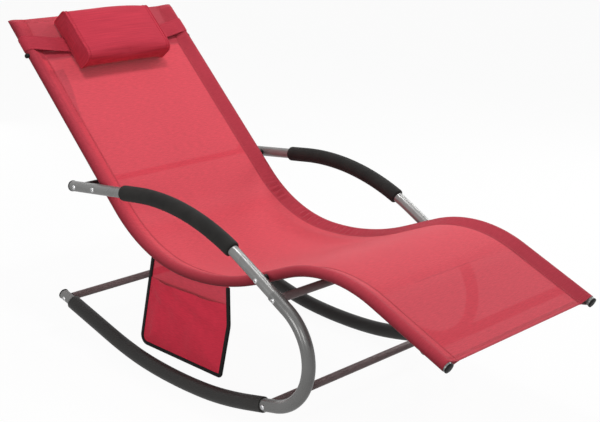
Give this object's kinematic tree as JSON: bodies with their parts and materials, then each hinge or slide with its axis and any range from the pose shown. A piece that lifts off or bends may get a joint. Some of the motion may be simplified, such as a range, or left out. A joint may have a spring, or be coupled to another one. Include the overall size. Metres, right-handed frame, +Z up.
{
  "type": "rocking lounger",
  "caption": "Outdoor rocking lounge chair: a sling seat on bent rails over curved tube rockers, with foam arm grips, a head pillow on a strap and a hanging side pocket.",
  "frame": {"origin": "on the floor, under the middle of the chair's bounding box", "axes": "+X to the feet, +Y to the sitter's left, +Z up"},
  "size_m": [1.466, 0.6056, 0.7897],
  "materials": {
    "silver_tube": "satin",
    "black_tube": "satin",
    "bright_bolt": "satin",
    "black_plastic": "satin",
    "black_foam": "matte",
    "black_rubber": "matte",
    "sling_cloth": "matte",
    "black_tape": "matte"
  },
  "bodies": {
    "chair": {"sling": "sling_cloth", "rail_left": "silver_tube", "rail_right": "silver_tube", "arm_tube_left": "silver_tube", "arm_tube_right": "silver_tube", "front_bend_left": "silver_tube", "front_bend_right": "silver_tube", "rocker_tube_left": "silver_tube", "rocker_tube_right": "silver_tube", "back_bar": "black_tube", "head_bar": "silver_tube", "foot_bar": "silver_tube", "knee_bar": "silver_tube", "rocker_front_bar": "silver_tube", "rocker_rear_bar": "silver_tube", "arm_grip_left": "black_foam", "rocker_sleeve_left": "black_rubber", "rail_head_cap_left": "black_plastic", "rail_foot_cap_left": "black_plastic", "arm_cap_left": "black_plastic", "rocker_cap_left": "black_plastic", "spacer_rear_left": "black_plastic", "spacer_front_left": "black_plastic", "bolt_head_left": "black_plastic", "bolt_back_left": "bright_bolt", "bolt_rail_rear_left": "bright_bolt", "bolt_rail_front_left": "bright_bolt", "bolt_knee_left": "bright_bolt", "bolt_rocker_front_left": "bright_bolt", "bolt_rocker_rear_left": "bright_bolt", "arm_grip_right": "black_foam", "rocker_sleeve_right": "black_rubber", "rail_head_cap_right": "black_plastic", "rail_foot_cap_right": "black_plastic", "arm_cap_right": "black_plastic", "rocker_cap_right": "black_plastic", "spacer_rear_right": "black_plastic", "spacer_front_right": "black_plastic", "bolt_head_right": "black_plastic", "bolt_back_right": "bright_bolt", "bolt_rail_rear_right": "bright_bolt", "bolt_rail_front_right": "bright_bolt", "bolt_knee_right": "bright_bolt", "bolt_rocker_front_right": "bright_bolt", "bolt_rocker_rear_right": "bright_bolt"},
    "head_pillow": {"pillow": "sling_cloth", "pillow_strap": "sling_cloth"},
    "side_pocket": {"pocket_panel": "sling_cloth", "pocket_pouch": "sling_cloth", "pocket_binding": "black_tape"}
  },
  "joints": [
    {"name": "pillow_slide", "type": "slide", "parent": "chair", "child": "head_pillow", "axis": [0.7337, 0, -0.6794], "range_m": [-0.044, 0.006]},
    {"name": "pocket_swing", "type": "hinge", "parent": "chair", "child": "side_pocket", "pos_m": [-0.03175, -0.2535, 0.263], "axis": [1, 0, 0], "range_deg": [-25, 25]}
  ]
}
